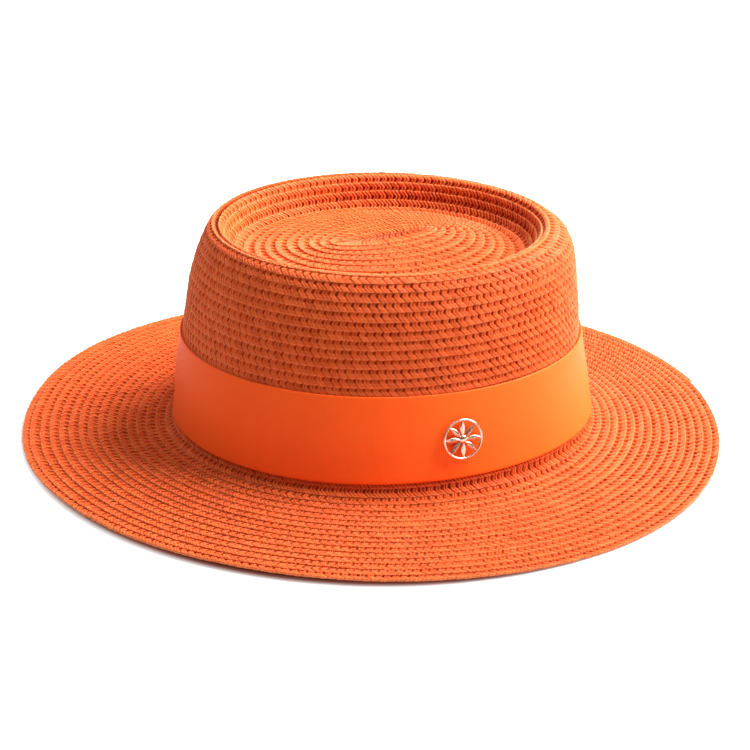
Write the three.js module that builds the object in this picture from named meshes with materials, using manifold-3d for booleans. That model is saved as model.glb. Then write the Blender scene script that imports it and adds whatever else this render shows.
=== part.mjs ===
// Straw hat of sewn braid: oval crown with a raised rim round a sunk top, a wide low brim, a grosgrain
// ribbon and a small openwork pin. Millimetres, +Z up, front towards -Y, the wearer's left towards +X.
// The origin is on the floor below the middle of the hat, which rests on three low spots of its brim.
import * as THREE from 'three'
import { mergeVertices } from 'three/addons/utils/BufferGeometryUtils.js'
import Module from 'manifold-3d'

// Crown, measured outside the straw, with its heights counted from the ribbon's lower edge
const CROWN_HALF_LENGTH = 101.2
const CROWN_HALF_WIDTH = 84.2
const CROWN_HEIGHT = 93.2
const RECESS_DEPTH = 12.6
const DOME_RISE = 5.7
const STRAW = 1.8

// Brim
const BRIM_FRONT = 70.4
const BRIM_BACK = 63
const BRIM_SIDE = 65.6
const BRIM_STRAW = 2
const BRIM_FALL = 8.6
const EDGE_LIFT = 5
const COLLAR_HEIGHT = 3
const REST_FLAT = 0.35

// Lean of the crown over the floor, in millimetres of height for each millimetre sideways
const BASE_LEAN_LEFT = 0.0134
const TOP_LEAN_LEFT = -0.024
const BASE_LEAN_BACK = 0.0164
const TOP_LEAN_BACK = 0.006

// Shift of the crown's top over its foot, towards the wearer's right
const TOP_SHIFT = 2.2

// Ribbon
const RIBBON_WIDTH = 41.4
const RIBBON_RAISE = 0.3
const RIBBON_THICKNESS = 0.9

// Pin, at a heading in degrees from the wearer's left towards the back, and the disc that holds it inside
const PIN_HEADING = 13.2
const PIN_HEIGHT_SHARE = 0.485
const PIN_RADIUS = 9.4
const PIN_WIRE = 1.15
const PIN_THICKNESS = 1.1
const PIN_STAND_OFF = 1.3
const PETALS = 8
const PETAL_HALF_WIDTH = 1.25
const BOSS_RADIUS = 2
const POST_RADIUS = 0.6
const POST_INTO_CLUTCH = 1.4
const PETAL_THICKNESS = 0.8
const BOSS_STAND = 0.3
const CLUTCH_RADIUS = 4.5
const CLUTCH_THICKNESS = 2.4

// Clearance between pieces, least step between two rows of a wall, how far a cut runs past a face, and the
// distance within which corners are joined
const GAP = 0.3
const ROW_STEP = 1
const CUT_PAST = 2
const WELD = 1e-4

// How finely round shapes are cut
const HEADINGS = 72
const ROUND_SIDES = 24
const RING_SEGMENTS = 20
const PETAL_SEGMENTS = 6

// Crown section from the ribbon's lower edge to the recess: height is a share of the crown's height, and
// front, back and side are shares of its half length, half length and half width at the lower edge.
const WALL = [
  { height: 0, front: 0.957, back: 1.014, side: 1 },
  { height: 0.224, front: 0.938, back: 0.974, side: 0.962 },
  { height: 0.448, front: 0.915, back: 0.934, side: 0.917 },
  { height: 0.585, front: 0.899, back: 0.922, side: 0.893 },
  { height: 0.714, front: 0.883, back: 0.907, side: 0.872 },
  { height: 0.82, front: 0.858, back: 0.895, side: 0.848 },
  { height: 0.9, front: 0.832, back: 0.876, side: 0.82 },
  { height: 0.952, front: 0.811, back: 0.849, side: 0.795 },
  { height: 0.981, front: 0.797, back: 0.811, side: 0.772 },
  { height: 0.996, front: 0.783, back: 0.787, side: 0.749 },
  { height: 1, front: 0.768, back: 0.765, side: 0.725 },
  { height: 0.996, front: 0.752, back: 0.743, side: 0.693 },
]

// Recess: depth is a share of the recess depth, and reach is the share of the rim's inner lip that is left.
const RECESS = [
  { depth: 0.14, reach: 0.977 },
  { depth: 0.55, reach: 0.937 },
  { depth: 0.87, reach: 0.899 },
  { depth: 1, reach: 0.855 },
]

// Sunk top: rise is a share of the dome's rise, and reach is a share of the recess floor's edge.
const DOME = [
  { rise: 0.22, reach: 0.84 },
  { rise: 0.62, reach: 0.56 },
  { rise: 0.92, reach: 0.26 },
]

// Brim section: reach is a share of the brim's width there, and fall a share of the way down to its edge.
const BRIM = [
  { reach: 0, fall: 0 },
  { reach: 0.012, fall: 0.22 },
  { reach: 0.038, fall: 0.43 },
  { reach: 0.09, fall: 0.58 },
  { reach: 0.16, fall: 0.68 },
  { reach: 0.26, fall: 0.745 },
  { reach: 0.42, fall: 0.805 },
  { reach: 0.62, fall: 0.875 },
  { reach: 0.8, fall: 0.935 },
  { reach: 0.93, fall: 0.98 },
  { reach: 1, fall: 1 },
]

// Waves of the brim's edge: heading in degrees from the wearer's left over the back, and lift off the floor
// as a share of the highest lift.
const EDGE = [
  { heading: 0, lift: 0.3 },
  { heading: 30, lift: 0 },
  { heading: 60, lift: 0.24 },
  { heading: 90, lift: 0.84 },
  { heading: 120, lift: 0.8 },
  { heading: 150, lift: 0.36 },
  { heading: 180, lift: 0 },
  { heading: 210, lift: 0.5 },
  { heading: 240, lift: 0.62 },
  { heading: 270, lift: 0 },
  { heading: 300, lift: 0.3 },
  { heading: 330, lift: 0.42 },
]

const straw = new THREE.MeshStandardMaterial({ color: 0xef8650, roughness: 0.8, metalness: 0 })
const grosgrain = new THREE.MeshStandardMaterial({ color: 0xea6a1e, roughness: 0.65, metalness: 0 })
const roseGold = new THREE.MeshStandardMaterial({ color: 0xdcb096, roughness: 0.25, metalness: 1 })

const wasm = await Module()
wasm.setup()

// Height of the ribbon's lower edge over the floor at the hat's middle
const CROWN_FOOT = BRIM_STRAW + BRIM_FALL

function mix(a, b, share) {
  return a + (b - a) * share
}

function angleOf(j) {
  return (2 * Math.PI * j) / HEADINGS
}

// Height that the leaning crown adds at a place, at a share of the crown's height
function lean(x, y, share) {
  return x * mix(BASE_LEAN_LEFT, TOP_LEAN_LEFT, share) + y * mix(BASE_LEAN_BACK, TOP_LEAN_BACK, share)
}

// Point of the crown's oval at one height; a row gives the reach to the front, back and side.
function ovalPoint(row, angle) {
  const share = row.height / CROWN_HEIGHT
  const x = row.side * Math.cos(angle) - share * TOP_SHIFT
  const y = (Math.sin(angle) > 0 ? row.back : row.front) * Math.sin(angle)
  return new THREE.Vector3(x, y, CROWN_FOOT + row.height + lean(x, y, share))
}

function wallRow(entry) {
  return {
    height: entry.height * CROWN_HEIGHT,
    front: entry.front * CROWN_HALF_LENGTH,
    back: entry.back * CROWN_HALF_LENGTH,
    side: entry.side * CROWN_HALF_WIDTH,
  }
}

const wallRows = WALL.map(wallRow)

// Crown row at any height between the ribbon's lower edge and the top of the rim
function wallAt(height) {
  const top = wallRows.findIndex((row) => row.height >= height)
  const upper = wallRows[Math.max(top, 1)]
  const lower = wallRows[Math.max(top, 1) - 1]
  const share = (height - lower.height) / (upper.height - lower.height)
  return {
    height,
    front: mix(lower.front, upper.front, share),
    back: mix(lower.back, upper.back, share),
    side: mix(lower.side, upper.side, share),
  }
}

function shrunk(row, reach, height) {
  return { height, front: row.front * reach, back: row.back * reach, side: row.side * reach }
}

function grid(rows) {
  return rows.map((row) => Array.from({ length: HEADINGS }, (_, j) => ovalPoint(row, angleOf(j))))
}

// Outward normal of a grid of points at one row and heading
function normalAt(points, k, j) {
  const after = points[Math.min(k + 1, points.length - 1)][j]
  const before = points[Math.max(k - 1, 0)][j]
  const along = points[k][(j + 1) % HEADINGS].clone().sub(points[k][(j + HEADINGS - 1) % HEADINGS])
  return along.cross(after.clone().sub(before)).normalize()
}

function offset(points, distance) {
  const moved = (p, k, j) => p.clone().addScaledVector(normalAt(points, k, j), distance)
  return points.map((row, k) => row.map((p, j) => moved(p, k, j)))
}

// Closed shell between an outer and an inner grid; a crown has a pole in place of its last ring.
function shell(outer, inner, poles) {
  const vertices = []
  const triangles = []
  const add = (p) => vertices.push(p.x, p.y, p.z) / 3 - 1
  const outerRings = outer.map((row) => row.map(add))
  const innerRings = inner.map((row) => row.map(add))
  const strip = (low, high) => {
    for (let j = 0; j < HEADINGS; j++) {
      const next = (j + 1) % HEADINGS
      triangles.push(low[j], low[next], high[next], low[j], high[next], high[j])
    }
  }
  const fan = (ring, pole, outward) => {
    for (let j = 0; j < HEADINGS; j++) {
      const next = (j + 1) % HEADINGS
      triangles.push(...(outward ? [ring[j], ring[next], pole] : [ring[next], ring[j], pole]))
    }
  }
  for (let k = 0; k + 1 < outerRings.length; k++) {
    strip(outerRings[k], outerRings[k + 1])
    strip(innerRings[k + 1], innerRings[k])
  }
  strip(innerRings[0], outerRings[0])
  if (poles) {
    fan(outerRings.at(-1), add(poles.outer), true)
    fan(innerRings.at(-1), add(poles.inner), false)
  } else {
    strip(outerRings.at(-1), innerRings.at(-1))
  }
  const geometry = new THREE.BufferGeometry()
  geometry.setAttribute('position', new THREE.Float32BufferAttribute(vertices, 3))
  geometry.setIndex(triangles)
  return geometry
}

function toSolid(geometry) {
  const bare = geometry.clone()
  bare.deleteAttribute('normal')
  bare.deleteAttribute('uv')
  const merged = mergeVertices(bare, WELD)
  return new wasm.Manifold(new wasm.Mesh({
    numProp: 3,
    vertProperties: new Float32Array(merged.attributes.position.array),
    triVerts: new Uint32Array(merged.index.array),
  }))
}

function toGeometry(solid) {
  const mesh = solid.getMesh()
  const geometry = new THREE.BufferGeometry()
  geometry.setAttribute('position', new THREE.BufferAttribute(new Float32Array(mesh.vertProperties), 3))
  geometry.setIndex(new THREE.BufferAttribute(new Uint32Array(mesh.triVerts), 1))
  return geometry
}

// Round bar along the pin's axis, between two heights over the ribbon's face
function bar(radius, from, to) {
  const geometry = new THREE.CylinderGeometry(radius, radius, to - from, ROUND_SIDES)
  geometry.rotateX(Math.PI / 2)
  geometry.translate(0, 0, (from + to) / 2)
  return geometry
}

function crownRows() {
  const hem = wallAt(COLLAR_HEIGHT + GAP)
  const wall = wallRows.filter((row) => row.height > hem.height + ROW_STEP)
  const lip = wallRows.at(-1)
  const recess = RECESS.map((row) => shrunk(lip, row.reach, lip.height - row.depth * RECESS_DEPTH))
  const floor = recess.at(-1)
  const dome = DOME.map((row) => shrunk(floor, row.reach, floor.height + row.rise * DOME_RISE))
  return [hem, ...wall, ...recess, ...dome]
}

function crownShell() {
  const outer = grid(crownRows())
  const top = CROWN_FOOT + wallRows.at(-1).height - RECESS_DEPTH + DOME_RISE
  const poles = { outer: new THREE.Vector3(0, 0, top), inner: new THREE.Vector3(0, 0, top - STRAW) }
  return shell(outer, offset(outer, -STRAW), poles)
}

// Lift of the brim's edge off the floor, in smooth waves through the table
function edgeLift(angle) {
  const place = (angle * 180) / Math.PI / (EDGE[1].heading - EDGE[0].heading)
  const at = Math.floor(place)
  const lifts = [-1, 0, 1, 2].map((step) => EDGE[(at + step + EDGE.length) % EDGE.length].lift)
  const share = place - at
  const [before, from, to, after] = lifts
  const bend = 2 * before - 5 * from + 4 * to - after
  const twist = 3 * (from - to) + after - before
  const curve = from + 0.5 * share * (to - before + share * (bend + share * twist))
  return Math.max(curve, 0) * EDGE_LIFT
}

// Oval at a share of the brim's width out from the crown's foot
function brimRow(reach) {
  const foot = wallRows[0]
  return {
    height: 0,
    front: foot.front + reach * BRIM_FRONT,
    back: foot.back + reach * BRIM_BACK,
    side: foot.side + reach * BRIM_SIDE,
  }
}

// Point of the brim's upper face: it falls from the crown's foot to its edge, which follows the waves.
function brimPoint(row, angle) {
  const point = ovalPoint(brimRow(row.reach), angle)
  const foot = ovalPoint(wallRows[0], angle)
  const edge = BRIM_STRAW + edgeLift(angle) - REST_FLAT
  point.z = mix(foot.z, edge, row.fall)
  return point
}

function brimShell() {
  const collar = Array.from({ length: HEADINGS }, (_, j) => ovalPoint(wallAt(COLLAR_HEIGHT), angleOf(j)))
  const rows = BRIM.map((row) => Array.from({ length: HEADINGS }, (_, j) => brimPoint(row, angleOf(j))))
  const upper = [collar, ...rows]
  const under = offset(upper, BRIM_STRAW)
  under.forEach((row) => row.forEach((p) => { p.z = Math.max(p.z, 0) }))
  return shell(under, upper)
}

function ribbonShell() {
  const bottom = RIBBON_RAISE
  const top = RIBBON_RAISE + RIBBON_WIDTH
  const heights = wallRows.slice(0, -1).map((row) => row.height)
  const between = heights.filter((height) => height > bottom + ROW_STEP && height < top - ROW_STEP)
  const wall = grid([bottom, ...between, top].map(wallAt))
  return shell(offset(wall, GAP + RIBBON_THICKNESS), offset(wall, GAP))
}

// Frame of the pin: its origin is on the ribbon's outer face, with +Z straight out of the crown.
function pinFrame() {
  const angle = (PIN_HEADING * Math.PI) / 180
  const height = RIBBON_RAISE + PIN_HEIGHT_SHARE * RIBBON_WIDTH
  const here = ovalPoint(wallAt(height), angle)
  const up = ovalPoint(wallAt(height + ROW_STEP / 2), angle).sub(here)
  const along = ovalPoint(wallAt(height), angle + Math.PI / HEADINGS).sub(here)
  const out = along.clone().cross(up).normalize()
  along.normalize()
  const frame = new THREE.Matrix4().makeBasis(along, out.clone().cross(along), out)
  return frame.setPosition(here.addScaledVector(out, GAP + RIBBON_THICKNESS))
}

// One petal, a pointed leaf from the boss to the ring
function petal(turn) {
  const inner = BOSS_RADIUS / 2
  const outer = PIN_RADIUS - PIN_WIRE / 2
  const middle = (inner + outer) / 2
  const shape = new THREE.Shape()
  shape.moveTo(inner, 0)
  shape.quadraticCurveTo(middle, 2 * PETAL_HALF_WIDTH, outer, 0)
  shape.quadraticCurveTo(middle, -2 * PETAL_HALF_WIDTH, inner, 0)
  const leaf = new THREE.ExtrudeGeometry(shape, {
    depth: PETAL_THICKNESS,
    bevelEnabled: false,
    curveSegments: PETAL_SEGMENTS,
  })
  leaf.rotateZ(turn)
  leaf.translate(0, 0, PIN_STAND_OFF + (PIN_THICKNESS - PETAL_THICKNESS) / 2)
  return leaf
}

function pinRing() {
  const shape = new THREE.Shape().absarc(0, 0, PIN_RADIUS, 0, 2 * Math.PI, false)
  shape.holes.push(new THREE.Path().absarc(0, 0, PIN_RADIUS - PIN_WIRE, 0, 2 * Math.PI, true))
  const ring = new THREE.ExtrudeGeometry(shape, {
    depth: PIN_THICKNESS,
    bevelEnabled: false,
    curveSegments: RING_SEGMENTS,
  })
  ring.translate(0, 0, PIN_STAND_OFF)
  return ring
}

// Depth from the ribbon's outer face to the crown's inner face
const CROWN_DEPTH = GAP + RIBBON_THICKNESS + STRAW

function pinSolid() {
  const post = bar(POST_RADIUS, -CROWN_DEPTH - GAP - POST_INTO_CLUTCH, PIN_STAND_OFF + PIN_THICKNESS / 2)
  const boss = bar(BOSS_RADIUS, GAP, PIN_STAND_OFF + PIN_THICKNESS + BOSS_STAND)
  let solid = toSolid(pinRing()).add(toSolid(boss)).add(toSolid(post))
  for (let k = 0; k < PETALS; k++) {
    solid = solid.add(toSolid(petal((2 * Math.PI * k) / PETALS)))
  }
  return solid
}

function clutchSolid() {
  const front = -CROWN_DEPTH - GAP
  const disc = toSolid(bar(CLUTCH_RADIUS, front - CLUTCH_THICKNESS, front))
  return disc.subtract(toSolid(bar(POST_RADIUS + GAP, front - POST_INTO_CLUTCH - GAP, front + CUT_PAST)))
}

// Clearance hole for the post through the ribbon and the crown
function postHole(frame) {
  return toSolid(bar(POST_RADIUS + GAP, -CROWN_DEPTH - CUT_PAST, CUT_PAST).applyMatrix4(frame))
}

function node(name, geometry, material) {
  const flat = geometry.index ? geometry.toNonIndexed() : geometry
  flat.computeVertexNormals()
  const mesh = new THREE.Mesh(flat, material)
  mesh.name = name
  return mesh
}

function hat() {
  const frame = pinFrame()
  const hole = postHole(frame)
  const group = new THREE.Group()
  group.add(node('crown', toGeometry(toSolid(crownShell()).subtract(hole)), straw))
  group.add(node('brim', brimShell(), straw))
  group.add(node('ribbon_band', toGeometry(toSolid(ribbonShell()).subtract(hole)), grosgrain))
  const pin = node('pin_badge', toGeometry(pinSolid()), roseGold)
  const clutch = node('pin_clutch', toGeometry(clutchSolid()), roseGold)
  for (const piece of [pin, clutch]) {
    piece.applyMatrix4(frame)
    group.add(piece)
  }
  const box = new THREE.Box3().setFromObject(group)
  const middle = box.getCenter(new THREE.Vector3())
  group.position.set(-middle.x, -middle.y, -box.min.z)
  return group
}

const group = hat()

export default group
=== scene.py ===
"""Straw hat: sewn spiral braid, a grosgrain ribbon and a small openwork pin, on a pale floor."""
import math

import bpy
import numpy as np
from mathutils import Matrix, Vector


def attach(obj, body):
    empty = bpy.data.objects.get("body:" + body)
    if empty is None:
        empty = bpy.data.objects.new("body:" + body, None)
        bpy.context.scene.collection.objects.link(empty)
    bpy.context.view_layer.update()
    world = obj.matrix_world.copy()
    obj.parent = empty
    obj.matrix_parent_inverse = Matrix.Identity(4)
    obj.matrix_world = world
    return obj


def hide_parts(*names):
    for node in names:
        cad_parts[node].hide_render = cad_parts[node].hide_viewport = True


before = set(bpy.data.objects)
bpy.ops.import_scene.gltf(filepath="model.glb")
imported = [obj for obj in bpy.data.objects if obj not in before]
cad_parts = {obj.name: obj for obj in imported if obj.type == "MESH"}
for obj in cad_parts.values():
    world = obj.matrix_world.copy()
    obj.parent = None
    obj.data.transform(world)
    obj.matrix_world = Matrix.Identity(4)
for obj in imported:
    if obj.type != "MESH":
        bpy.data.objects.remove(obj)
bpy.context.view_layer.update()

MM = 0.001

# Crown and brim in millimetres, measured outside the straw as in the solids
CROWN_HALF_LENGTH = 101.2
CROWN_HALF_WIDTH = 84.2
CROWN_HEIGHT = 93.2
RECESS_DEPTH = 12.6
DOME_RISE = 5.7
BRIM_FRONT = 70.4
BRIM_BACK = 63
BRIM_SIDE = 65.6
STRAW = 1.8
BRIM_STRAW = 2
BRIM_FALL = 8.6
EDGE_LIFT = 5
REST_FLAT = 0.35
BASE_LEAN_LEFT = 0.0134
TOP_LEAN_LEFT = -0.024
BASE_LEAN_BACK = 0.0164
TOP_LEAN_BACK = 0.006
TOP_SHIFT = 2.2

# Ribbon, the headings and levels of the wall that its band is fitted to, and the width of a rib
RIBBON_WIDTH = 41.4
RIBBON_RAISE = 0.3
RIBBON_GAP = 0.3
RIBBON_THICKNESS = 0.9
RIBBON_HEADINGS = 360
RIBBON_LEVELS = 24
WALL_SAMPLES = 200
RIB_WIDTH = 0.95

# Pin, at a heading in degrees from the wearer's left towards the back
PIN_HEADING = 13.2
PIN_HEIGHT_SHARE = 0.485
PIN_RADIUS = 9.4
PIN_WIRE = 1.15
PIN_THICKNESS = 1.1
PIN_STAND_OFF = 1.3
PETALS = 8
PETAL_HALF_WIDTH = 1.25
PETAL_THICKNESS = 0.8
BOSS_RADIUS = 2
BOSS_STAND = 0.3
BOSS_EDGE = 0.2
POST_RADIUS = 0.6
POST_TIP = 0.4
CLUTCH_RADIUS = 4.5
CLUTCH_THICKNESS = 2.4
CLUTCH_EDGE = 0.4
POST_INTO_CLUTCH = 1.4
CLEARANCE = 0.3

# Shares of their radius that the post's tip, the boss's underside and the clutch's front keep flat
POST_TIP_SHARE = 0.6
BOSS_UNDER_SHARE = 0.9
CLUTCH_FRONT_SHARE = 0.93

# Faces round and along the parts of the pin, and the radius at which its turned parts close on their axis
RING_SIDES = 96
WIRE_SIDES = 14
PETAL_STEPS = 26
BOSS_SIDES = 40
CLUTCH_SIDES = 48
AXIS_RADIUS = 0.01

# Section of a petal: share of its half width to each side, and share of its thickness up
PETAL = [
    {"side": -1, "up": 0.25},
    {"side": -0.86, "up": 0.62},
    {"side": -0.45, "up": 0.86},
    {"side": -0.12, "up": 0.94},
    {"side": 0, "up": 1.12},
    {"side": 0.12, "up": 0.94},
    {"side": 0.45, "up": 0.86},
    {"side": 0.86, "up": 0.62},
    {"side": 1, "up": 0.25},
    {"side": 0.6, "up": 0},
    {"side": -0.6, "up": 0},
]

# Domed edge of the boss: share of its radius, and millimetres down from its top
BOSS_DOME = [
    {"radius": 1, "down": 0.9},
    {"radius": 0.94, "down": 0.55},
    {"radius": 0.76, "down": 0.25},
    {"radius": 0.4, "down": 0.06},
]

# Rounded back of the clutch, with a shallow dish: share of its radius, and millimetres in from its back
CLUTCH_BACK = [
    {"radius": 0.45, "in": 0},
    {"radius": 0.55, "in": 0.35},
    {"radius": 0.85, "in": 0.35},
    {"radius": 0.96, "in": 0.5},
    {"radius": 1, "in": 0.85},
]

# Braid: a row's visible width on the sunk top and elsewhere, and the length of one plait cell
TOP_PITCH = 4.8
ROW_PITCH = 4.3
CELL_LENGTH = 3.5

# Line that the spiral starts around: half its length and width, its middle, how far it turns off the long
# axis and how soon that fades outwards, and the heading of the end where the braid starts
CORE_HALF_LENGTH = 18
CORE_HALF_WIDTH = 0.02
CORE_LEFT = -4.6
CORE_BACK = 2.6
CORE_TURN = 0.32
CORE_EASE = 1.5
CORE_START = math.radians(270)

# How deep the braid lies at the core line and over how many rows it sinks, the row up to which it has no
# row inside it, and the row inside which it keeps the normals of that row
CORE_SINK = 0.25
CORE_SINK_ROWS = 0.6
FIRST_TURN = 0.97
FIRST_NORMALS = 0.5

# Where the braid ends at the brim's edge, how many turns it narrows over and how far, the share of a row by
# which it passes the edge there, and the turns that all this adds to the rows
BRAID_END = math.radians(97)
END_TURNS = 1.5
END_NARROWING = 0.9
EDGE_SPARE = 0.18
END_EXTRA = EDGE_SPARE - 1 + END_TURNS * END_NARROWING / 2

# Rows that the plain stretch behind the ribbon keeps inside the ribbon's edges, the columns of the braid's
# section that it has, and which of the steps along a cell
FOOT_MARGIN = 1.2
PLAIN_COLUMNS = (0, 3, 6, 7, 8, 9, 10)
PLAIN_STEPS = 3

# Points of the spiral's line in a turn, and the least height of the straw over the floor
LINE_POINTS = 360
FLOOR_CLEARANCE = 0.02

# Crown section from the ribbon's lower edge to the rim's inner lip, in shares of the crown's sizes
WALL = [
    {"height": 0, "front": 0.957, "back": 1.014, "side": 1},
    {"height": 0.224, "front": 0.938, "back": 0.974, "side": 0.962},
    {"height": 0.448, "front": 0.915, "back": 0.934, "side": 0.917},
    {"height": 0.585, "front": 0.899, "back": 0.922, "side": 0.893},
    {"height": 0.714, "front": 0.883, "back": 0.907, "side": 0.872},
    {"height": 0.82, "front": 0.858, "back": 0.895, "side": 0.848},
    {"height": 0.9, "front": 0.832, "back": 0.876, "side": 0.82},
    {"height": 0.952, "front": 0.811, "back": 0.849, "side": 0.795},
    {"height": 0.981, "front": 0.797, "back": 0.811, "side": 0.772},
    {"height": 0.996, "front": 0.783, "back": 0.787, "side": 0.749},
    {"height": 1, "front": 0.768, "back": 0.765, "side": 0.725},
    {"height": 0.996, "front": 0.752, "back": 0.743, "side": 0.693},
]

# Recess: share of its depth, and share of the inner lip's reach
RECESS = [
    {"depth": 0.14, "reach": 0.977},
    {"depth": 0.55, "reach": 0.937},
    {"depth": 0.87, "reach": 0.899},
    {"depth": 1, "reach": 0.855},
]

# Sunk top: share of the dome's rise, and share of the way from the core line to the recess floor's edge
DOME = [
    {"rise": 0.3, "reach": 0.8},
    {"rise": 0.7, "reach": 0.5},
    {"rise": 0.95, "reach": 0.2},
    {"rise": 1, "reach": 0},
]

# Brim: share of its width, and share of the way down to its edge
BRIM = [
    {"reach": 0.012, "fall": 0.22},
    {"reach": 0.038, "fall": 0.43},
    {"reach": 0.09, "fall": 0.58},
    {"reach": 0.16, "fall": 0.68},
    {"reach": 0.26, "fall": 0.745},
    {"reach": 0.42, "fall": 0.805},
    {"reach": 0.62, "fall": 0.875},
    {"reach": 0.8, "fall": 0.935},
    {"reach": 1, "fall": 1},
    {"reach": 1.06, "fall": 1},
]

# Lift of the brim's edge off the floor, every 30 degrees from the wearer's left towards the back
EDGE_WAVES = [0.3, 0, 0.24, 0.84, 0.8, 0.36, 0, 0.5, 0.62, 0, 0.3, 0.42]

# Section of one braid row over its upper and then its lower face. across is a share of the visible row
# from its upper edge, and height is in millimetres over the hat's outline. slot and groove are how deep
# the gap between two pairs of strands and the gap inside a pair go there, and lean is how far a strand
# has run along the row there, in plait cells
BRAID = [
    {"across": -0.3, "height": -0.85, "slot": 0, "groove": 0, "lean": -0.3},
    {"across": 0.02, "height": -0.52, "slot": 0.7, "groove": 0.5, "lean": -0.16},
    {"across": 0.16, "height": -0.32, "slot": 1.25, "groove": 0.95, "lean": -0.06},
    {"across": 0.36, "height": -0.12, "slot": 1.25, "groove": 1, "lean": 0},
    {"across": 0.52, "height": -0.02, "slot": 0.56, "groove": 0.66, "lean": -0.16},
    {"across": 0.72, "height": 0.04, "slot": 0.62, "groove": 0.6, "lean": -0.38},
    {"across": 0.91, "height": 0.14, "slot": 0.46, "groove": 0.42, "lean": -0.56},
    {"across": 1, "height": -0.02, "slot": 0.36, "groove": 0.32, "lean": -0.62},
    {"across": 0.95, "height": -1.3, "slot": -0.1, "groove": 0, "lean": -0.5},
    {"across": 0.36, "height": -1.8, "slot": -0.16, "groove": -0.1, "lean": 0},
    {"across": -0.26, "height": -1.7, "slot": -0.1, "groove": 0, "lean": -0.3},
]

# Steps along one plait cell, which is a pair of strands, and how open the two kinds of gap are at each
CELL_STEPS = [0, 0.14, 0.36, 0.5, 0.64, 0.86]
SLOT_OPEN = [1, 0.42, 0, 0, 0, 0.42]
GROOVE_OPEN = [0, 0, 0.12, 1, 0.12, 0]

# Depth in millimetres at which a gap's painted shade is darkest, and how much stronger it is towards the
# hat's back
# The painted shade is stronger at the back, the side from which the key light falls into the gaps
DEEPEST = 1.8
BACK_GAP_SHADE = 0.34

# How dark the painted shade in the seam along the core line is, and how much of a row it fades over
CORE_SEAM_SHADE = 1
CORE_FADE = 0.12

# Looser seam just inside the near rim, sunk into the braid and also darkened with painted shade: how many
# rows inside the crest it is deepest, over how many rows of the spiral it fades each way, how deep it is in
# millimetres, and over how much of the row it fades
RIM_SEAM_IN = 0.6
RIM_SEAM_FADE = 0.45
RIM_SEAM_DEPTH = 0.7
RIM_SEAM_SHARE = 0.69

# Creases along the strands, a plait cell, bumped and with painted shade in their hollows
FOLDS = 4

# How far a strand's end draws back from the row's lower edge at a gap, as a share of the row, how much of
# that it does at the gap inside a pair, and where on the row it starts to
SCALLOP = 0.13
GROOVE_SCALLOP = 0.7
SCALLOP_FROM = 0.9

# Uneven hand of the braid: how wide the gaps are, how far a cell stands up and how much that varies, and
# how far its edge wanders, slowly over a number of cells and from cell to cell
GAP_RANGE = (0.72, 1.2)
SWELL_MEAN = 0.15
SWELL_SPREAD = 0.05
WANDER_CELLS = 24
WANDER_SLOW = 0.03
WANDER_QUICK = 0.015

# Ribbon section: height is a share of its width, edge is added to it in millimetres, and out is a share
# of its thickness out from its inner face
RIBBON = [
    {"height": 0, "edge": 0.1, "out": 0},
    {"height": 0, "edge": 0, "out": 0.25},
    {"height": 0, "edge": 0, "out": 0.75},
    {"height": 0, "edge": 0.15, "out": 0.96},
    {"height": 0, "edge": 0.6, "out": 1},
    {"height": 0.2, "edge": 0, "out": 1},
    {"height": 0.4, "edge": 0, "out": 1},
    {"height": 0.6, "edge": 0, "out": 1},
    {"height": 0.8, "edge": 0, "out": 1},
    {"height": 1, "edge": -0.6, "out": 1},
    {"height": 1, "edge": -0.15, "out": 0.96},
    {"height": 1, "edge": 0, "out": 0.75},
    {"height": 1, "edge": 0, "out": 0.25},
    {"height": 1, "edge": -0.1, "out": 0},
]

# Camera of the photograph's view, in degrees and metres, with its lens and its sensor in millimetres
VIEW_HEADING = 78.77
VIEW_ELEVATION = 25.88
VIEW_DISTANCE = 1.0
VIEW_LENGTH = 100.4
VIEW_ROLL = 2.32
AIM_UP = 0.0145
AIM_RIGHT = -0.0016
SENSOR_WIDTH = 36

# Lights: turn from the camera's heading and elevation in degrees, distance and diameter in metres, and
# power in watts
LIGHTS = [
    {"name": "key", "turn": 110, "elevation": 46, "distance": 1.1, "size": 1.1, "power": 68},
    {"name": "fill", "turn": -108, "elevation": 55, "distance": 1.8, "size": 1.2, "power": 9},
]
LIGHT_TARGET = Vector((0, 0, 0.05))

# Floor: half its side in millimetres, and the reach of its oval of painted shadow to the side and front in
# metres
FLOOR_HALF = 4000
OVAL_SIDE = 0.15
OVAL_FRONT = 0.167

# Colours, darkest and lightest
STRAW_COLOURS = ((0.84, 0.112, 0.017), (0.95, 0.15, 0.029))
RIBBON_COLOURS = ((0.88, 0.098, 0.006), (0.93, 0.11, 0.009))
GOLD_COLOURS = ((0.68, 0.43, 0.31), (0.78, 0.52, 0.4))
WHITE = (1, 1, 1)

FOOT_Z = BRIM_STRAW + BRIM_FALL
CLUTCH_FRONT = -(RIBBON_GAP + RIBBON_THICKNESS + STRAW + CLEARANCE)


def foot_reach():
    """Reach of the crown's foot to the front, back and side"""
    first = WALL[0]
    front = first["front"] * CROWN_HALF_LENGTH
    back = first["back"] * CROWN_HALF_LENGTH
    return front, back, first["side"] * CROWN_HALF_WIDTH


def centre_y():
    """The solids stand centred on their box, so the crown's oval lies a little to the back"""
    front, back, _ = foot_reach()
    return (front + BRIM_FRONT - back - BRIM_BACK) / 2


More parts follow.
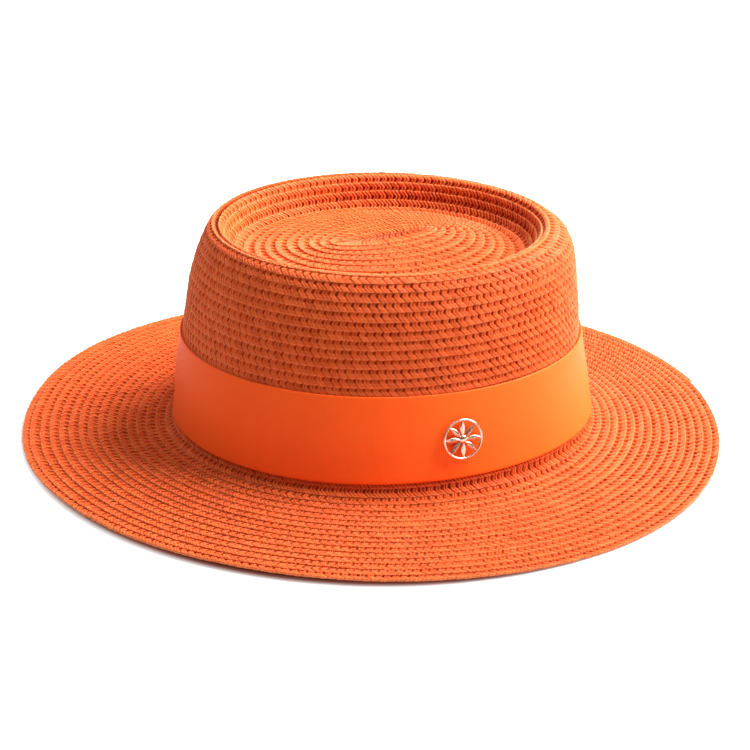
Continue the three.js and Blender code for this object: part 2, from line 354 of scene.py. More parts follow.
def section():
    """Rows of the hat's section from the core line out to the edge: height, front, back, side, fall"""
    walls = [
        (
            w["height"] * CROWN_HEIGHT,
            w["front"] * CROWN_HALF_LENGTH,
            w["back"] * CROWN_HALF_LENGTH,
            w["side"] * CROWN_HALF_WIDTH,
            0,
        )
        for w in WALL
    ]
    lip = walls[-1]
    recess = [
        (lip[0] - r["depth"] * RECESS_DEPTH, *(reach * r["reach"] for reach in lip[1:4]), 0)
        for r in RECESS
    ]
    floor = recess[-1]
    dome = []
    for d in DOME:
        core = CORE_HALF_LENGTH
        long_reach = [core + d["reach"] * (reach - core) for reach in floor[1:3]]
        side = max(d["reach"] * floor[3], CORE_HALF_WIDTH)
        dome.append((floor[0] + d["rise"] * DOME_RISE, *long_reach, side, 0))
    front, back, side = foot_reach()
    brim = [
        (
            0,
            front + b["reach"] * BRIM_FRONT,
            back + b["reach"] * BRIM_BACK,
            side + b["reach"] * BRIM_SIDE,
            b["fall"],
        )
        for b in BRIM
    ]
    return np.array(dome[::-1] + recess[::-1] + walls[::-1] + brim, float)


SECTION = section()


def row_numbers():
    """Braid row at each row of the section, counted from the core line by the mean distance along it"""
    heights = np.array([s[0] - s[4] * BRIM_FALL for s in SECTION])
    steps = np.zeros(len(SECTION) - 1)
    for column in (1, 2, 3):
        steps += np.hypot(np.diff(SECTION[:, column]), np.diff(heights)) / 3
    pitch = np.full(len(steps), ROW_PITCH)
    pitch[: len(DOME)] = TOP_PITCH
    rows = np.concatenate([[0], np.cumsum(steps / pitch)])
    part_turn = (CORE_START - BRAID_END) / (2 * np.pi)
    whole_turns = round(rows[-2] + END_EXTRA - part_turn)
    return rows * (whole_turns + part_turn - END_EXTRA) / rows[-2]


ROWS = row_numbers()
ROW_TOP = float(ROWS[len(DOME)])
ROW_RIM = float(ROWS[len(DOME) + len(RECESS) + 1])
ROW_FOOT = float(ROWS[len(DOME) + len(RECESS) + len(WALL) - 1])
ROW_EDGE = float(ROWS[-2])


def slopes(knots, values):
    """Slope at each knot of a smooth curve through a table"""
    step = np.diff(knots)
    rise = np.diff(values) / step
    inner = (rise[:-1] * step[1:] + rise[1:] * step[:-1]) / (step[:-1] + step[1:])
    return np.concatenate([[rise[0]], inner, [rise[-1]]])


COLUMN_SLOPES = [slopes(ROWS, SECTION[:, column]) for column in range(5)]


def smooth(column, at):
    """Value of a column of the section between its rows, by cubic curves"""
    at = np.clip(at, ROWS[0], ROWS[-1])
    k = np.clip(np.searchsorted(ROWS, at) - 1, 0, len(ROWS) - 2)
    step = ROWS[k + 1] - ROWS[k]
    share = (at - ROWS[k]) / step
    start, end = SECTION[k, column], SECTION[k + 1, column]
    leave, arrive = COLUMN_SLOPES[column][k] * step, COLUMN_SLOPES[column][k + 1] * step
    bend = 3 * (end - start) - 2 * leave - arrive
    twist = 2 * (start - end) + leave + arrive
    return start + share * (leave + share * (bend + share * twist))


def edge_lift(angle):
    """Height of the brim's edge over the floor, in smooth waves"""
    waves = np.array(EDGE_WAVES)
    place = np.mod(angle, 2 * np.pi) / (2 * np.pi) * len(waves)
    k = np.floor(place).astype(int)
    share = place - k
    before, start, end, after = (waves[(k + step) % len(waves)] for step in (-1, 0, 1, 2))
    bend = 2 * before - 5 * start + 4 * end - after
    twist = 3 * (start - end) + after - before
    return np.maximum(start + 0.5 * share * (end - before + share * (bend + share * twist)), 0) * EDGE_LIFT


def surface(row, angle):
    """Points of the hat's outer face in millimetres, at a braid row and a heading"""
    height, front, back, side, fall = (smooth(column, row) for column in range(5))
    foot_front, foot_back, foot_side = foot_reach()
    share = height / CROWN_HEIGHT
    cos, sin = np.cos(angle), np.sin(angle)
    to_back = sin > 0
    x = side * cos - share * TOP_SHIFT
    y = np.where(to_back, back, front) * sin
    foot_x = np.minimum(side, foot_side) * cos - share * TOP_SHIFT
    foot_y = np.where(to_back, np.minimum(back, foot_back), np.minimum(front, foot_front)) * sin
    lean_left = BASE_LEAN_LEFT + (TOP_LEAN_LEFT - BASE_LEAN_LEFT) * share
    lean_back = BASE_LEAN_BACK + (TOP_LEAN_BACK - BASE_LEAN_BACK) * share
    crown = FOOT_Z + height + foot_x * lean_left + foot_y * lean_back
    edge = BRIM_STRAW + edge_lift(angle) - REST_FLAT
    z = crown + fall * (edge - crown)
    core = np.clip(1 - row / ROW_TOP, 0, 1) ** CORE_EASE
    x = x + core * (CORE_LEFT + TOP_SHIFT - CORE_TURN * y)
    y = y + core * CORE_BACK
    return np.stack([x, y + centre_y(), z], axis=-1)


def normals(row, angle):
    """Outward normals of the hat's face"""
    small_row, small_angle = 0.08, 0.01
    out = surface(row + small_row, angle) - surface(row - small_row, angle)
    along = surface(row, angle + small_angle) - surface(row, angle - small_angle)
    normal = np.cross(out, along)
    return normal / np.maximum(np.linalg.norm(normal, axis=-1, keepdims=True), 1e-9)


def spiral():
    """The braid's line: its row and heading at even small steps, and its length so far in plait cells"""
    turns_in_all = ROW_EDGE + END_EXTRA
    turns = np.linspace(0, turns_in_all, int(turns_in_all * LINE_POINTS))
    narrowing = np.clip(1 + (turns - turns_in_all) / END_TURNS, 0, 1)
    rate = 1 - END_NARROWING * narrowing * narrowing * (3 - 2 * narrowing)
    row = np.concatenate([[0], np.cumsum(rate[1:] * np.diff(turns))])
    angle = BRAID_END + 2 * np.pi * (turns_in_all - turns)
    points = surface(row, angle)
    length = np.concatenate([[0], np.cumsum(np.linalg.norm(np.diff(points, axis=0), axis=1))])
    return row, angle, length / CELL_LENGTH


LINE_ROW, LINE_ANGLE, LINE_CELLS = spiral()


def mesh_object(name, points, faces, material, attributes=None):
    """Mesh from arrays in millimetres: faces is a list of arrays, and each attribute has a value a vertex"""
    mesh = bpy.data.meshes.new(name)
    corners = np.concatenate([f.ravel() for f in faces]).astype(np.int32)
    sizes = np.concatenate([np.full(len(f), f.shape[1]) for f in faces])
    mesh.vertices.add(len(points))
    mesh.vertices.foreach_set("co", (np.asarray(points, float) * MM).ravel())
    mesh.loops.add(len(corners))
    mesh.loops.foreach_set("vertex_index", corners)
    mesh.polygons.add(len(sizes))
    mesh.polygons.foreach_set("loop_start", (np.cumsum(sizes) - sizes).astype(np.int32))
    mesh.polygons.foreach_set("use_smooth", np.full(len(sizes), True))
    for label, values in (attributes or {}).items():
        layer = mesh.attributes.new(label, "FLOAT", "POINT")
        layer.data.foreach_set("value", np.asarray(values, np.float32).ravel())
    mesh.update(calc_edges=True)
    mesh.validate()
    mesh.materials.append(material)
    piece = bpy.data.objects.new(name, mesh)
    bpy.context.scene.collection.objects.link(piece)
    return piece


def tube_faces(rings, around, capped=True):
    """Faces of a tube of rings, closed at both ends, or joined end to end when it isn't capped"""
    k = np.arange(rings - 1 if capped else rings)[:, None] * around
    j = np.arange(around)[None, :]
    after = (j + 1) % around
    following = (k + around) % (rings * around)
    sides = np.stack([k + j, k + after, following + after, following + j], -1).reshape(-1, 4)
    if not capped:
        return [sides]
    last = (rings - 1) * around
    return [sides, np.arange(around)[None, ::-1], last + np.arange(around)[None, :]]


def waver(rng, count, reach, amount):
    """Smooth seeded wandering along the braid, with an even spread"""
    raw = np.convolve(rng.normal(0, 1, count + reach), np.hanning(reach), "valid")[:count]
    return amount * raw / max(raw.std(), 1e-6)


CELLS = int(LINE_CELLS[-1]) + 2
RANDOM = np.random.default_rng(7)
TIGHTNESS = RANDOM.uniform(*GAP_RANGE, CELLS)
SWELL = SWELL_MEAN + RANDOM.normal(0, SWELL_SPREAD, CELLS)
WANDER = waver(RANDOM, CELLS, WANDER_CELLS, WANDER_SLOW) + RANDOM.normal(0, WANDER_QUICK, CELLS)
SHADE = RANDOM.uniform(0, 1, CELLS)


def columns(table, *labels):
    """Named columns of a table, each as an array"""
    return (np.array([line[label] for line in table]) for label in labels)


def along_cells(values, cells):
    """One cell's values for each of a number of cells, and the first again at their end"""
    return np.append(np.tile(values, cells), values[0])


def plateau(distance, reach):
    """One near a middle, falling to nothing at a reach from it"""
    steepness = 1.5
    return np.clip(steepness * (1 - distance / reach), 0, 1)


def painted_gap_shade(sunk, seam, shown, angle, gap_shade_strength):
    """Painted shade at each point of the braid, darker the further it sinks into a gap or a seam, and along
    the core line
    """
    depth = np.clip(gap_shade_strength * (1 + BACK_GAP_SHADE * np.sin(angle)) * sunk / DEEPEST, 0, 1)
    core = CORE_SEAM_SHADE * np.clip(1 - shown / CORE_FADE, 0, 1)
    return np.maximum(np.maximum(depth, core), seam)


def braid_piece(name, first_row, last_row, material, groove_share, gap_shade_strength, detail):
    """One stretch of the spiral braid, a closed strip of plaited strands, between two braid rows"""
    first, final = np.round(np.interp([first_row, last_row], LINE_ROW, LINE_CELLS)).astype(int)
    table = BRAID if detail else [BRAID[k] for k in PLAIN_COLUMNS]
    kept = slice(None) if detail else slice(None, None, PLAIN_STEPS)
    steps, slot_open, groove_open = CELL_STEPS[kept], SLOT_OPEN[kept], GROOVE_OPEN[kept]
    cells = final - first
    cell = np.append(np.repeat(np.arange(first, final), len(steps)), final)
    base = cell + along_cells(steps, cells)
    slot_gap = (along_cells(slot_open, cells) * TIGHTNESS[cell])[:, None]
    groove_gap = (along_cells(groove_open, cells) * TIGHTNESS[::-1][cell])[:, None] * groove_share
    across, height, slot, groove, lean = columns(table, "across", "height", "slot", "groove", "lean")
    place = np.clip(base[:, None] + lean, 0, LINE_CELLS[-1])
    row = np.interp(place, LINE_CELLS, LINE_ROW)
    angle = np.interp(place, LINE_CELLS, LINE_ANGLE)
    scalloped = np.clip((across - SCALLOP_FROM) / (1 - SCALLOP_FROM), 0, 1)
    drawn = SCALLOP * (slot_gap + GROOVE_SCALLOP * groove_gap) * scalloped
    inner = np.where(row < FIRST_TURN, 0, row + np.minimum(across, 0))
    shown = inner + np.clip(across, 0, 1) * (row + 1 - inner + WANDER[cell][:, None]) - drawn
    seam = plateau(np.abs(row - ROW_RIM + RIM_SEAM_IN), RIM_SEAM_FADE)
    # The seam also darkens the straw as painted shade, through the depth attribute
    seam = seam * plateau(across, RIM_SEAM_SHARE) * (height > -STRAW / 2)
    sunk = slot_gap * slot + groove_gap * groove + RIM_SEAM_DEPTH * seam
    rise = height - sunk + SWELL[cell][:, None]
    rise = (rise + CORE_SINK) * np.clip(shown / CORE_SINK_ROWS, 0, 1) - CORE_SINK
    points = surface(shown, angle) + normals(np.maximum(shown, FIRST_NORMALS), angle) * rise[..., None]
    points[..., 2] = np.maximum(points[..., 2], FLOOR_CLEARANCE)
    # depth carries painted shade: darker the further a point sinks into a gap or the rim seam, and along the
    # core line
    values = {
        "depth": painted_gap_shade(sunk, seam, shown, angle, gap_shade_strength),
        "shade": np.repeat(SHADE[cell], len(table)),
        "along": np.repeat(base, len(table)),
        "across": np.tile(across, len(base)),
    }
    faces = tube_faces(len(base), len(table))
    piece = mesh_object(name, points.reshape(-1, 3), faces, material, values)
    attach(piece, "root")
    return piece


def grey(value):
    """Neutral colour"""
    return (value, value, value)


def nodes_of(name):
    """New node material, with its tree and its shader"""
    material = bpy.data.materials.new(name)
    material.use_nodes = True
    tree = material.node_tree
    shader = tree.nodes["Principled BSDF"]
    return material, tree, shader


def attribute(tree, name):
    """Value that a mesh holds for each vertex"""
    node = tree.nodes.new("ShaderNodeAttribute")
    node.attribute_name = name
    return node.outputs["Fac"]


def noise(tree, scale, detail, stretch=(1, 1, 1)):
    """Noise in the object's own space; scale counts features in a metre"""
    texture = tree.nodes.new("ShaderNodeTexNoise")
    place = tree.nodes.new("ShaderNodeTexCoord")
    texture.inputs["Scale"].default_value = scale
    texture.inputs["Detail"].default_value = detail
    mapping = tree.nodes.new("ShaderNodeMapping")
    mapping.inputs["Scale"].default_value = stretch
    tree.links.new(place.outputs["Object"], mapping.inputs["Vector"])
    tree.links.new(mapping.outputs["Vector"], texture.inputs["Vector"])
    return texture.outputs["Fac"]


def ramp(tree, source, stops):
    """Colour ramp through (place, colour) stops"""
    node = tree.nodes.new("ShaderNodeValToRGB")
    elements = node.color_ramp.elements
    while len(elements) < len(stops):
        elements.new(0.5)
    for element, (place, colour) in zip(elements, stops):
        element.position = place
        element.color = (*colour, 1)
    tree.links.new(source, node.inputs["Fac"])
    return node.outputs["Color"]


def blend_colour(tree, mode, share, first, second):
    """Two colours mixed in a blend mode, by a share of the second"""
    node = tree.nodes.new("ShaderNodeMix")
    node.data_type = "RGBA"
    node.blend_type = mode
    node.inputs["Factor"].default_value = share
    tree.links.new(first, node.inputs["A"])
    tree.links.new(second, node.inputs["B"])
    return node.outputs["Result"]


def bump(tree, shader, height, distance, strength, after=None):
    """Low relief on a shader, on top of the relief that comes before it"""
    node = tree.nodes.new("ShaderNodeBump")
    node.inputs["Distance"].default_value = distance
    node.inputs["Strength"].default_value = strength
    tree.links.new(height, node.inputs["Height"])
    if after:
        tree.links.new(after, node.inputs["Normal"])
    tree.links.new(node.outputs["Normal"], shader.inputs["Normal"])
    return node.outputs["Normal"]


def math_node(tree, operation, first, second):
    """Math node of a socket and a number"""
    node = tree.nodes.new("ShaderNodeMath")
    node.operation = operation
    tree.links.new(first, node.inputs[0])
    node.inputs[1].default_value = second
    return node.outputs[0]


def wave(tree, source, count):
    """Sine wave that runs a number of times as a value rises by one"""
    return math_node(tree, "SINE", math_node(tree, "MULTIPLY", source, count * 2 * math.pi), 0)


def strand_fibres(tree, along_scale, across_scale):
    """Noise drawn out along the strands, from the braid's own two directions"""
    place = tree.nodes.new("ShaderNodeCombineXYZ")
    tree.links.new(math_node(tree, "MULTIPLY", attribute(tree, "along"), along_scale), place.inputs[0])
    tree.links.new(math_node(tree, "MULTIPLY", attribute(tree, "across"), across_scale), place.inputs[1])
    texture = tree.nodes.new("ShaderNodeTexNoise")
    texture.inputs["Scale"].default_value = 1
    texture.inputs["Detail"].default_value = 4
    tree.links.new(place.outputs[0], texture.inputs["Vector"])
    return texture.outputs["Fac"]


def straw_material():
    """Plaited paper straw: each strand a little lighter or darker, with paper fibre, painted shade in its
    gaps, seams and creases, and a painted highlight along each row's raised edge
    """
    material, tree, shader = nodes_of("straw_braid")
    dark, light = STRAW_COLOURS
    base = ramp(tree, attribute(tree, "shade"), [(0, dark), (1, light)])
    streaks = ramp(tree, strand_fibres(tree, 7, 1.5), [(0.3, (0.8, 0.74, 0.7)), (0.65, WHITE)])
    # Painted highlight: a lighter, yellower line added along each row's raised lower edge
    edge = ramp(tree, attribute(tree, "across"), [(0.82, grey(0)), (0.95, (0.02, 0.07, 0.03))])
    mottled_and_highlit = blend_colour(tree, "ADD", 1, blend_colour(tree, "MULTIPLY", 0.7, base, streaks), edge)
    fold = wave(tree, attribute(tree, "along"), FOLDS)
    # Painted shade in the hollows of the creases
    painted_crease_shade = ramp(tree, fold, [(0, (0.78, 0.74, 0.7)), (0.5, WHITE)])
    crease_shaded = blend_colour(tree, "MULTIPLY", 0.8, mottled_and_highlit, painted_crease_shade)
    # Painted shade: deep turns how far a point sinks into a gap or seam into darker straw
    depth = attribute(tree, "depth")
    deep = ramp(tree, depth, [(0.06, WHITE), (0.5, (0.48, 0.3, 0.22)), (0.9, (0.16, 0.11, 0.08))])
    tree.links.new(blend_colour(tree, "MULTIPLY", 1, crease_shaded, deep), shader.inputs["Base Color"])
    gloss = ramp(tree, depth, [(0.08, grey(0.14)), (0.4, grey(0))])
    tree.links.new(gloss, shader.inputs["Specular IOR Level"])
    shader.inputs["Roughness"].default_value = 0.5
    shader.inputs["Sheen Weight"].default_value = 0.4
    shader.inputs["Sheen Roughness"].default_value = 0.35
    shader.inputs["Sheen Tint"].default_value = (1, 0.7, 0.45, 1)
    folds = bump(tree, shader, fold, 0.0001, 0.8)
    fibre = bump(tree, shader, strand_fibres(tree, 11, 2), 0.0004, 0.6, folds)
    bump(tree, shader, noise(tree, 1500, 3), 0.0002, 0.4, fibre)
    return material


def grosgrain_material():
    """Ribbed ribbon: fine upright ribs with painted shade in their grooves, faint cross threads and slow
    changes of tone
    """
    material, tree, shader = nodes_of("grosgrain")
    dark, light = RIBBON_COLOURS
    rib = wave(tree, attribute(tree, "rib"), 1)
    slow = ramp(tree, noise(tree, 24, 2), [(0.3, dark), (0.7, light)])
    # Painted shade in the grooves between the ribs
    rib_groove_shade = ramp(tree, rib, [(0, (0.9, 0.86, 0.84)), (0.6, WHITE)])
    colour = blend_colour(tree, "MULTIPLY", 0.6, slow, rib_groove_shade)
    tree.links.new(colour, shader.inputs["Base Color"])
    shader.inputs["Roughness"].default_value = 0.5
    shader.inputs["Specular IOR Level"].default_value = 0.12
    shader.inputs["Sheen Weight"].default_value = 0.08
    shader.inputs["Sheen Roughness"].default_value = 0.4
    shader.inputs["Sheen Tint"].default_value = (1, 0.55, 0.25, 1)
    ribs = bump(tree, shader, rib, 0.00005, 0.5)
    bump(tree, shader, noise(tree, 2500, 3, (0.25, 0.25, 1)), 0.0001, 0.3, ribs)
    return material


def rose_gold_material():
    """Polished rose gold plating with a faintly uneven polish"""
    material, tree, shader = nodes_of("rose_gold")
    dark, light = GOLD_COLOURS
    tint = ramp(tree, noise(tree, 700, 3), [(0.3, dark), (0.7, light)])
    tree.links.new(tint, shader.inputs["Base Color"])
    polish = ramp(tree, noise(tree, 1500, 4), [(0.3, grey(0.2)), (0.7, grey(0.32))])
    tree.links.new(polish, shader.inputs["Roughness"])
    shader.inputs["Metallic"].default_value = 1
    bump(tree, shader, noise(tree, 900, 3), 0.0001, 0.15)
    return material


def floor_material():
    """Pale ground that gives off a little light, except in an oval of painted shadow under the hat, whose
    edge is at half
    """
    material, tree, shader = nodes_of("floor")
    tone = ramp(tree, noise(tree, 3, 2), [(0.3, grey(0.34)), (0.7, grey(0.37))])
    shader.inputs["Roughness"].default_value = 0.9
    place = tree.nodes.new("ShaderNodeTexCoord")
    oval = tree.nodes.new("ShaderNodeMapping")
    oval.inputs["Scale"].default_value = (1 / OVAL_SIDE, 1 / OVAL_FRONT, 0)
    reach = tree.nodes.new("ShaderNodeVectorMath")
    reach.operation = "LENGTH"
    tree.links.new(place.outputs["Object"], oval.inputs["Vector"])
    tree.links.new(oval.outputs["Vector"], reach.inputs[0])
    share = math_node(tree, "DIVIDE", reach.outputs["Value"], 2)
    # Painted shadow: the glow dies out under the hat, through a reddish brown at the brim's edge as painted
    # bounce
    under, near, away = (0.03, 0.005, 0.003), (0.16, 0.05, 0.035), (0.7, 0.69, 0.685)
    glow = ramp(tree, share, [(0.484, under), (0.492, near), (0.503, away)])
    # Painted contact shadow: the floor's colour turns dark reddish brown under the brim's edge
    painted_contact_shadow = ramp(tree, share, [(0.484, (0.12, 0.04, 0.03)), (0.503, WHITE)])
    tree.links.new(blend_colour(tree, "MULTIPLY", 1, tone, painted_contact_shadow), shader.inputs["Base Color"])
    tree.links.new(glow, shader.inputs["Emission Color"])
    shader.inputs["Emission Strength"].default_value = 1
    return material


def row_at(height):
    """Braid row on the crown's wall at a height over the ribbon's lower edge"""
    rows = np.linspace(ROW_RIM, ROW_FOOT, WALL_SAMPLES)
    return np.interp(-height, -smooth(0, rows), rows)


def ring_normals(points):
    """Outward normals of a grid of closed rings, one above the other"""
    along = np.roll(points, -1, axis=1) - np.roll(points, 1, axis=1)
    up = np.gradient(points, axis=0)
    normal = np.cross(along, up)
    return normal / np.linalg.norm(normal, axis=-1, keepdims=True)


def make_ribbon(material):
    """The band round the crown, with softly rounded edges and an even rib"""
    angle = np.linspace(0, 2 * np.pi, RIBBON_HEADINGS, endpoint=False)[None, :]
    height = np.array([RIBBON_RAISE + r["height"] * RIBBON_WIDTH + r["edge"] for r in RIBBON])
    levels = np.linspace(RIBBON_RAISE, RIBBON_RAISE + RIBBON_WIDTH, RIBBON_LEVELS)
    wall = surface(row_at(levels)[:, None], angle)
    outward = ring_normals(wall)
    low = np.clip(np.searchsorted(levels, height) - 1, 0, len(levels) - 2)
    share = ((height - levels[low]) / (levels[low + 1] - levels[low]))[:, None, None]
    here = wall[low] + share * (wall[low + 1] - wall[low])
    normal = outward[low] + share * (outward[low + 1] - outward[low])
    out = RIBBON_GAP + RIBBON_THICKNESS * np.array([r["out"] for r in RIBBON])
    points = (here + normal * out[:, None, None]).transpose(1, 0, 2)
    length = np.concatenate([[0], np.cumsum(np.linalg.norm(np.diff(wall[0], axis=0), axis=1))])
    rib = np.repeat(length / RIB_WIDTH, len(RIBBON))
    faces = tube_faces(RIBBON_HEADINGS, len(RIBBON), capped=False)
    piece = mesh_object("ribbon", points.reshape(-1, 3), faces, material, {"rib": rib})
    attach(piece, "root")
    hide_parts("ribbon_band")


def pin_frame():
    """Origin and three directions of the pin: along the ribbon, up it, and straight out"""
    angle, small_angle = np.array([math.radians(PIN_HEADING)]), 0.02
    row = np.array([row_at(RIBBON_RAISE + PIN_HEIGHT_SHARE * RIBBON_WIDTH)])
    here = surface(row, angle)[0]
    out = normals(row, angle)[0]
    along = (surface(row, angle + small_angle) - surface(row, angle - small_angle))[0]
    along -= out * np.dot(out, along)
    along /= np.linalg.norm(along)
    up = np.cross(out, along)
    origin = here + out * (RIBBON_GAP + RIBBON_THICKNESS)
    return origin, np.stack([along, up, out])


def turned(profile, sides):
    """Points of a profile of (radius, height) turned about the pin's axis, in rings round it"""
    angle = np.linspace(0, 2 * np.pi, sides, endpoint=False)[:, None]
    radius = np.array([p[0] for p in profile])[None, :]
    height = np.array([p[1] for p in profile])[None, :] * np.ones_like(angle)
    return np.stack([radius * np.cos(angle), radius * np.sin(angle), height], -1)


def lathe(profile, sides):
    """Closed turned solid of a profile that runs from the axis out and back to it"""
    rings = turned(profile, sides).transpose(1, 0, 2)
    return rings.reshape(-1, 3), tube_faces(len(profile), sides)


def pin_ring():
    """Round wire rim of the pin"""
    half_width, half_height = PIN_WIRE / 2, PIN_THICKNESS / 2
    angle = np.linspace(0, 2 * np.pi, WIRE_SIDES, endpoint=False)
    radius = PIN_RADIUS - half_width + half_width * np.cos(angle)
    height = PIN_STAND_OFF + half_height + half_height * np.sin(angle)
    rings = turned(list(zip(radius, height)), RING_SIDES)
    return rings.reshape(-1, 3), tube_faces(RING_SIDES, WIRE_SIDES, capped=False)


def pin_petal(turn):
    """Pointed leaf from the boss to the rim, with a raised middle rib and soft edges"""
    inner, outer = BOSS_RADIUS / 2, PIN_RADIUS - PIN_WIRE / 2
    share = np.linspace(0.01, 0.99, PETAL_STEPS)[:, None]
    half_width = 4 * PETAL_HALF_WIDTH * share * (1 - share)
    side, up = columns(PETAL, "side", "up")
    height = PIN_STAND_OFF + (PIN_THICKNESS - PETAL_THICKNESS) / 2 + PETAL_THICKNESS * up
    x, y, z = np.broadcast_arrays(inner + share * (outer - inner), half_width * side, height)
    cos, sin = math.cos(turn), math.sin(turn)
    points = np.stack([x * cos - y * sin, x * sin + y * cos, z], -1)
    return points.reshape(-1, 3), tube_faces(PETAL_STEPS, len(PETAL))


def pin_boss():
    """Domed middle of the pin with its post, down into the disc inside"""
    back = CLUTCH_FRONT - POST_INTO_CLUTCH
    top = PIN_STAND_OFF + PIN_THICKNESS + BOSS_STAND
    profile = [
        (AXIS_RADIUS, back),
        (POST_RADIUS * POST_TIP_SHARE, back),
        (POST_RADIUS, back + POST_TIP),
        (POST_RADIUS, CLEARANCE),
        (BOSS_RADIUS * BOSS_UNDER_SHARE, CLEARANCE),
        (BOSS_RADIUS, CLEARANCE + BOSS_EDGE),
        *((BOSS_RADIUS * d["radius"], top - d["down"]) for d in BOSS_DOME),
        (AXIS_RADIUS, top),
    ]
    return lathe(profile, BOSS_SIDES)


def pin_clutch():
    """Round clutch inside the crown, with rounded edges"""
    back = CLUTCH_FRONT - CLUTCH_THICKNESS
    hole_radius = POST_RADIUS + CLEARANCE
    hole_end = CLUTCH_FRONT - POST_INTO_CLUTCH - CLEARANCE
    profile = [
        (AXIS_RADIUS, back),
        *((CLUTCH_RADIUS * c["radius"], back + c["in"]) for c in CLUTCH_BACK),
        (CLUTCH_RADIUS, CLUTCH_FRONT - CLUTCH_EDGE),
        (CLUTCH_RADIUS * CLUTCH_FRONT_SHARE, CLUTCH_FRONT),
        (hole_radius, CLUTCH_FRONT),
        (hole_radius, hole_end),
        (AXIS_RADIUS, hole_end),
    ]
    return lathe(profile, CLUTCH_SIDES)


def join_parts(parts):
    """Several (points, faces) as one"""
    points, faces, offset = [], [], 0
    for part_points, part_faces in parts:
        points.append(part_points)
        faces.extend(f + offset for f in part_faces)
        offset += len(part_points)
    return np.concatenate(points), faces


def make_pin(material):
    """The openwork pin on the ribbon and its clutch inside the crown"""
    origin, directions = pin_frame()
    petals = [pin_petal(2 * math.pi * k / PETALS) for k in range(PETALS)]
    parts = {"pin": join_parts([pin_ring(), pin_boss(), *petals]), "clutch": pin_clutch()}
    for (name, (points, faces)), node in zip(parts.items(), ("pin_badge", "pin_clutch")):
        piece = mesh_object(name, origin + points @ directions, faces, material)
        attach(piece, "root")
        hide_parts(node)


def aim(thing, place, target, roll=0.0):
    """Puts a camera or light at a place, facing a target"""
    forward = (target - place).normalized()
    turn = forward.to_track_quat("-Z", "Y").to_matrix().to_4x4()
    thing.matrix_world = Matrix.Translation(place) @ turn @ Matrix.Rotation(roll, 4, "Z")


def heading_vector(heading, elevation):
    """Unit vector towards a heading, counted from the front towards the wearer's left, and an elevation"""
    a, e = math.radians(heading), math.radians(elevation)
    return Vector((math.sin(a) * math.cos(e), -math.cos(a) * math.cos(e), math.sin(e)))


def make_camera():
    """Camera at the photograph's heading, height and roll, aimed a little off the hat's middle"""
    camera = bpy.data.objects.new("camera", bpy.data.cameras.new("camera"))
    bpy.context.scene.collection.objects.link(camera)
    camera.data.lens = VIEW_LENGTH
    camera.data.sensor_width = SENSOR_WIDTH
    middle = Vector((0, centre_y() * MM, FOOT_Z * MM))
    place = middle + VIEW_DISTANCE * heading_vector(VIEW_HEADING, VIEW_ELEVATION)
    forward = (middle - place).normalized()
    right = forward.cross(Vector((0, 0, 1))).normalized()
    up = right.cross(forward)
    aim(camera, place, middle + AIM_UP * up + AIM_RIGHT * right, math.radians(VIEW_ROLL))
    bpy.context.scene.camera = camera


def make_light(name, turn, elevation, distance, size, power):
    """Round soft light that faces the hat"""
    light = bpy.data.lights.new(name, "AREA")
    light.shape = "DISK"
    light.size = size
    light.energy = power
    lamp = bpy.data.objects.new(name, light)
    bpy.context.scene.collection.objects.link(lamp)
    aim(lamp, LIGHT_TARGET + distance * heading_vector(VIEW_HEADING + turn, elevation), LIGHT_TARGET)


def make_lights():
    """A soft key from the right and slightly behind, and a weak fill from the left"""
    for row in LIGHTS:
        make_light(**row)


def make_floor():
    """Wide pale floor"""
    half = FLOOR_HALF
    corners = [(-half, -half, 0), (half, -half, 0), (half, half, 0), (-half, half, 0)]
    floor = mesh_object("floor", corners, [np.array([[0, 1, 2, 3]])], floor_material())


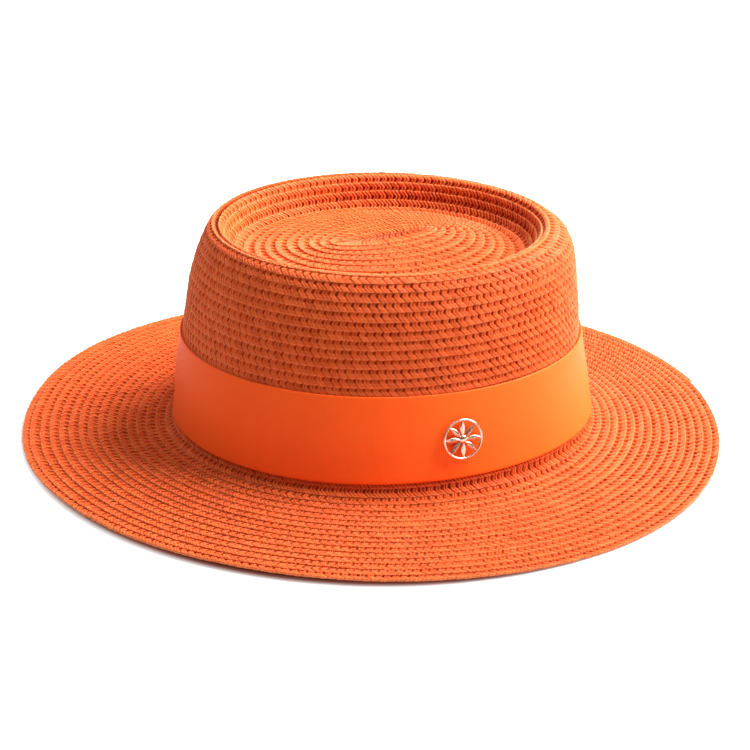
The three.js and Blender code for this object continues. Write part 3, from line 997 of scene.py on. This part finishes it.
def make_surround():
    """Pale surround, dimmer low down, seen without tone mapping"""
    world = bpy.data.worlds.new("surround")
    bpy.context.scene.world = world
    world.use_nodes = True
    tree = world.node_tree
    background = tree.nodes["Background"]
    place = tree.nodes.new("ShaderNodeTexCoord")
    split = tree.nodes.new("ShaderNodeSeparateXYZ")
    tree.links.new(place.outputs["Generated"], split.inputs["Vector"])
    sky = ramp(tree, split.outputs["Z"], [(0, grey(0.07)), (0.35, grey(0.11)), (1, grey(0.66))])
    tree.links.new(sky, background.inputs["Color"])
    background.inputs["Strength"].default_value = 1
    bpy.context.scene.view_settings.view_transform = "Standard"


def stretches():
    """
    Stretches of the braid for each CAD node that they replace, by the row where each ends, counted from the
    core line. groove is how open the gaps inside the pairs are, and dark is how strong the gaps' painted
    shade is.
    """
    hidden_from = ROW_FOOT - RIBBON_WIDTH / ROW_PITCH + FOOT_MARGIN
    hidden_to = ROW_FOOT - FOOT_MARGIN
    wall_middle = (ROW_RIM + hidden_from) / 2
    last = float(LINE_ROW[-1])
    brim_third = (last - hidden_to) / 3
    inner_end = hidden_to + brim_third * 1.2
    middle_end = hidden_to + brim_third * 2.2
    return {
        "crown": [
            {"name": "crown_top", "end": ROW_RIM - 3, "groove": 1, "dark": 1.8, "detail": True},
            {"name": "crown_rim", "end": ROW_RIM + 2, "groove": 0.75, "dark": 1.2, "detail": True},
            {"name": "wall_upper", "end": wall_middle + 1, "groove": 0.75, "dark": 1.1, "detail": True},
            {"name": "wall_lower", "end": hidden_from, "groove": 0.75, "dark": 1.1, "detail": True},
            {"name": "crown_foot", "end": hidden_to, "groove": 0.85, "dark": 1, "detail": False},
        ],
        "brim": [
            {"name": "brim_inner", "end": inner_end, "groove": 1.05, "dark": 1.7, "detail": True},
            {"name": "brim_middle", "end": middle_end, "groove": 1.1, "dark": 2, "detail": True},
            {"name": "brim_outer", "end": last, "groove": 1.1, "dark": 2, "detail": True},
        ],
    }


def make_straw(material):
    """The whole spiral braid in stretches, from the core line to the brim's edge"""
    start = 0
    for node, rows in stretches().items():
        for stretch in rows:
            end, groove, dark, detail = (stretch[label] for label in ("end", "groove", "dark", "detail"))
            piece = braid_piece("straw_" + stretch["name"], start, end, material, groove, dark, detail)
            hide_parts(node)
            start = end


make_camera()
make_straw(straw_material())
make_ribbon(grosgrain_material())
make_pin(rose_gold_material())
make_floor()
make_lights()
make_surround()
